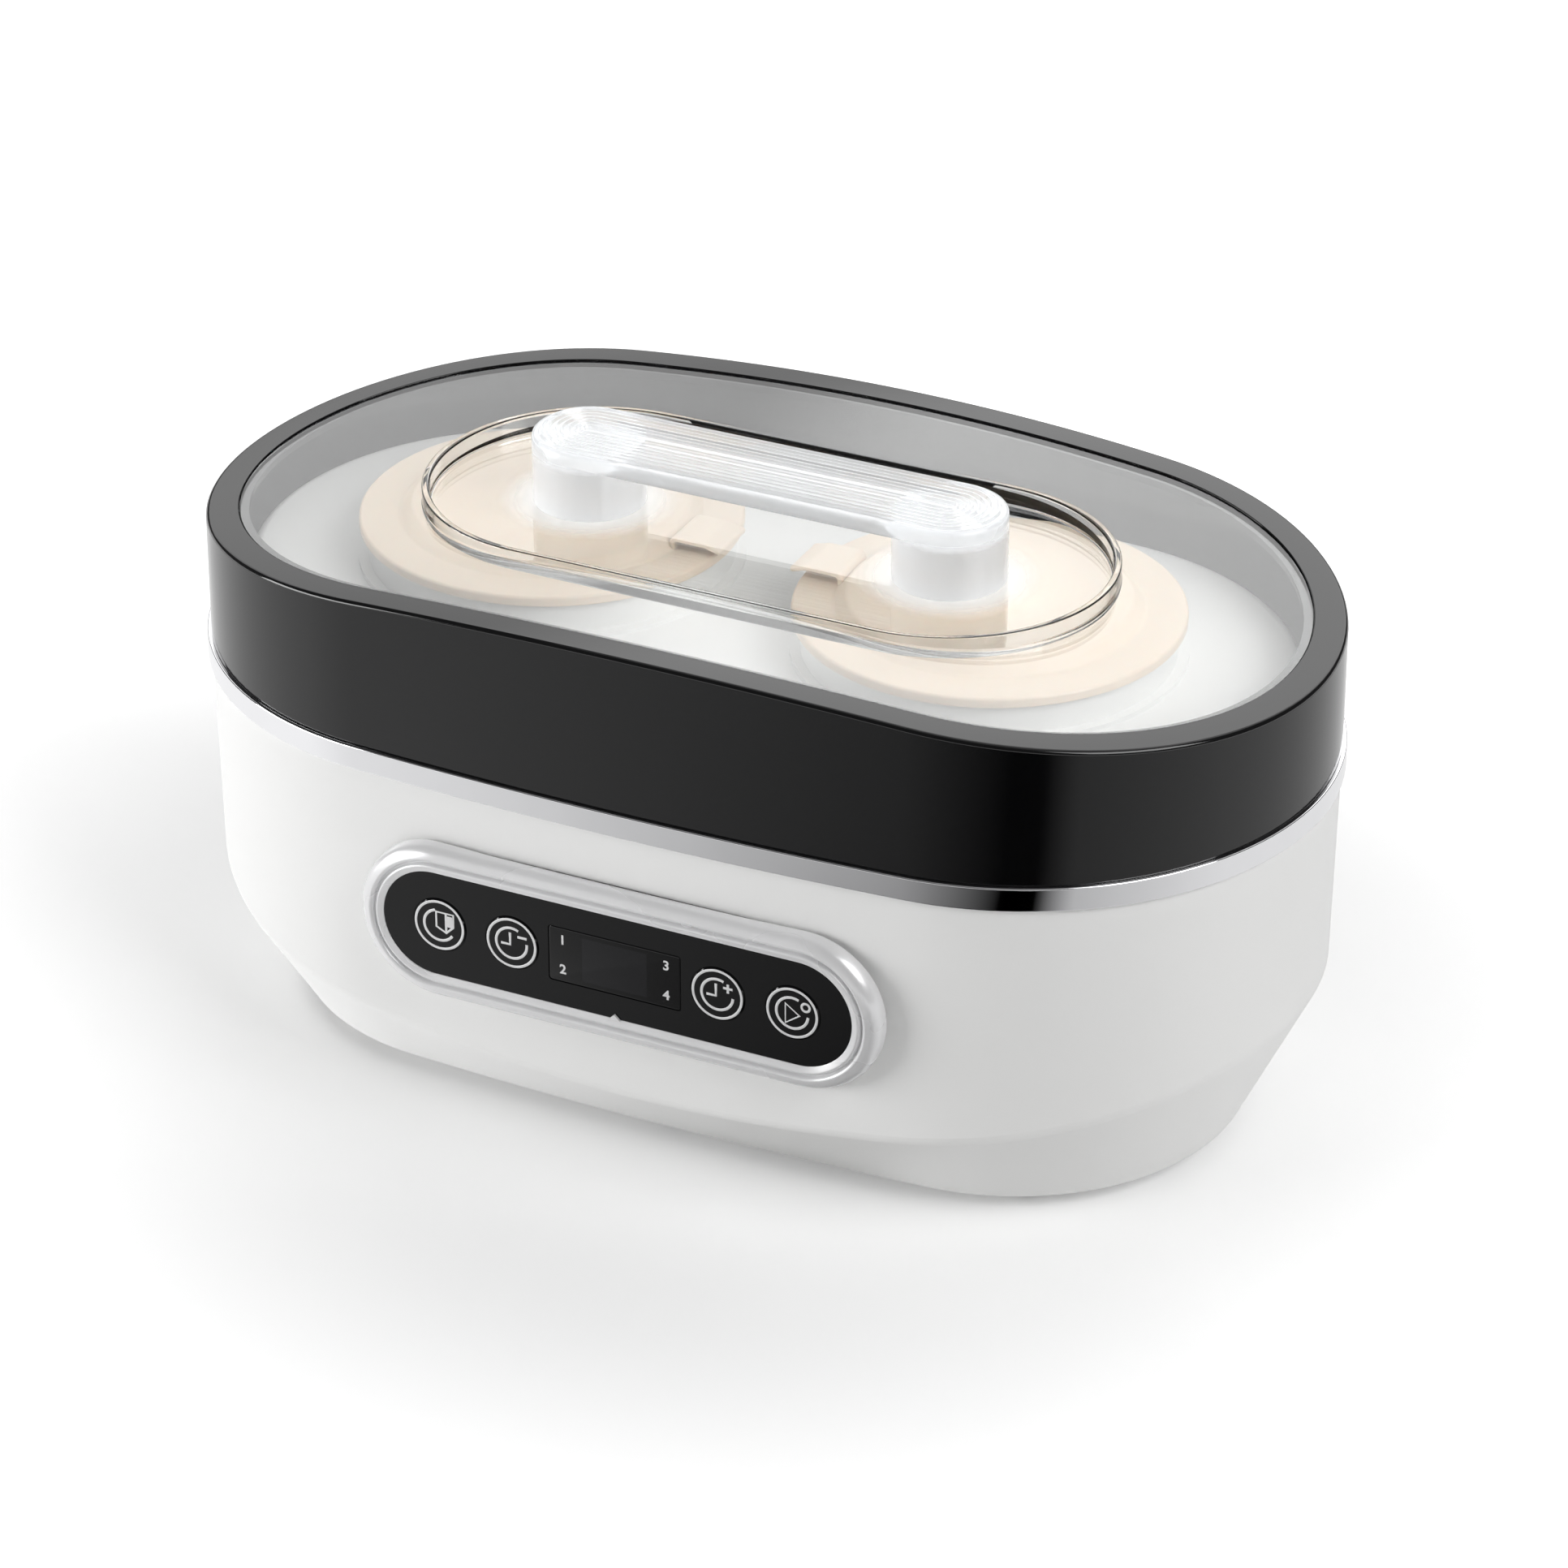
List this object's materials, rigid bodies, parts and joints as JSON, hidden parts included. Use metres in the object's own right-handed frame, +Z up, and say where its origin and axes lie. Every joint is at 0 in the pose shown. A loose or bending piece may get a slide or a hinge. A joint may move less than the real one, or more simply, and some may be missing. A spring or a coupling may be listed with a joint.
{
  "type": "yogurt maker",
  "caption": "Oval countertop yogurt maker: white body with a push-button front panel, black lid ring with a clear arched window and ribbed handle, and capped bowls in heated wells.",
  "frame": {"origin": "on the table under the middle of the base", "axes": "+X along the length, towards the right hand of a person who faces the control panel; the control panel faces -Y; +Z up"},
  "size_m": [0.3324, 0.1926, 0.1785],
  "materials": {
    "white_plastic": "satin white moulded plastic",
    "black_plastic": "high-gloss black moulded plastic",
    "chrome_trim": "bright chrome plating",
    "clear_plastic": "clear polished plastic",
    "cream_plastic": "satin cream food-safe plastic",
    "silver_paint": "satin silver paint on plastic",
    "display_tint": "smoked clear plastic",
    "display_face": "dark grey display",
    "grey_rubber": "matte dark rubber",
    "silicone": "translucent white silicone",
    "heater_silicone": "red-brown silicone",
    "screw_steel": "zinc-plated steel",
    "heater_aluminium": "brushed aluminium",
    "board_green": "green solder mask",
    "component_black": "black moulded components",
    "core_steel": "varnished laminations",
    "lamp_white": "diffused lamp plastic",
    "lead_white": "heat-proof lead insulation",
    "fuse_glass": "clear glass"
  },
  "bodies": {
    "base": {"outer_housing": "white_plastic", "bottom_cover": "white_plastic", "cover_screws": "screw_steel", "chrome_trim_ring": "chrome_trim", "inner_liner": "white_plastic", "heater_screws": "screw_steel", "power_board": "board_green", "power_board_screws": "screw_steel", "transformer": "core_steel", "relay": "component_black", "terminal_block": "component_black", "filter_capacitor": "component_black", "mains_fuse": "fuse_glass", "ribbon_cable": "lead_white", "panel_bezel": "silver_paint", "panel_screws": "screw_steel", "panel_fascia": "black_plastic", "display_window": "display_tint", "display_module": "display_face", "control_board": "board_green", "control_board_screws": "screw_steel", "tact_switches": "component_black", "program_leds": "lamp_white", "cord_gland": "grey_rubber", "foot_front_left": "grey_rubber", "foot_front_right": "grey_rubber", "foot_rear_left": "grey_rubber", "foot_rear_right": "grey_rubber", "well_left": "white_plastic", "heater_plate_left": "heater_aluminium", "heater_mat_left": "heater_silicone", "temperature_sensor_left": "screw_steel", "thermal_fuse_left": "lead_white", "heater_lead_left": "lead_white", "well_right": "white_plastic", "heater_plate_right": "heater_aluminium", "heater_mat_right": "heater_silicone", "temperature_sensor_right": "screw_steel", "thermal_fuse_right": "lead_white", "heater_lead_right": "lead_white"},
    "bowl_left": {"bowl_left": "cream_plastic"},
    "bowl_right": {"bowl_right": "cream_plastic"},
    "cap_left": {"cap_left": "cream_plastic", "cap_seal_left": "silicone"},
    "cap_right": {"cap_right": "cream_plastic", "cap_seal_right": "silicone"},
    "lid": {"lid_ring": "black_plastic", "lid_window": "clear_plastic", "lid_handle": "clear_plastic"},
    "button_program": {"button_program": "black_plastic"},
    "button_minus": {"button_minus": "black_plastic"},
    "button_plus": {"button_plus": "black_plastic"},
    "button_start": {"button_start": "black_plastic"}
  },
  "joints": [
    {"name": "bowl_left_lift", "type": "slide", "parent": "base", "child": "bowl_left", "axis": [0, 0, 1], "range_m": [0, 0.12]},
    {"name": "bowl_right_lift", "type": "slide", "parent": "base", "child": "bowl_right", "axis": [0, 0, 1], "range_m": [0, 0.12]},
    {"name": "cap_left_lift", "type": "slide", "parent": "bowl_left", "child": "cap_left", "axis": [0, 0, 1], "range_m": [0, 0.05]},
    {"name": "cap_right_lift", "type": "slide", "parent": "bowl_right", "child": "cap_right", "axis": [0, 0, 1], "range_m": [0, 0.05]},
    {"name": "lid_lift", "type": "slide", "parent": "cap_left", "child": "lid", "axis": [0, 0, 1], "range_m": [0, 0.12]},
    {"name": "button_program_press", "type": "slide", "parent": "base", "child": "button_program", "axis": [0, 1, 0], "range_m": [0, 0.0008], "stiffness_N_per_m": 600},
    {"name": "button_minus_press", "type": "slide", "parent": "base", "child": "button_minus", "axis": [0, 1, 0], "range_m": [0, 0.0008], "stiffness_N_per_m": 600},
    {"name": "button_plus_press", "type": "slide", "parent": "base", "child": "button_plus", "axis": [0, 1, 0], "range_m": [0, 0.0008], "stiffness_N_per_m": 600},
    {"name": "button_start_press", "type": "slide", "parent": "base", "child": "button_start", "axis": [0, 1, 0], "range_m": [0, 0.0008], "stiffness_N_per_m": 600}
  ],
  "couplings": [
    {"joint": "bowl_right_lift", "follows": "bowl_left_lift", "ratio": 1},
    {"joint": "cap_right_lift", "follows": "cap_left_lift", "ratio": 1}
  ]
}
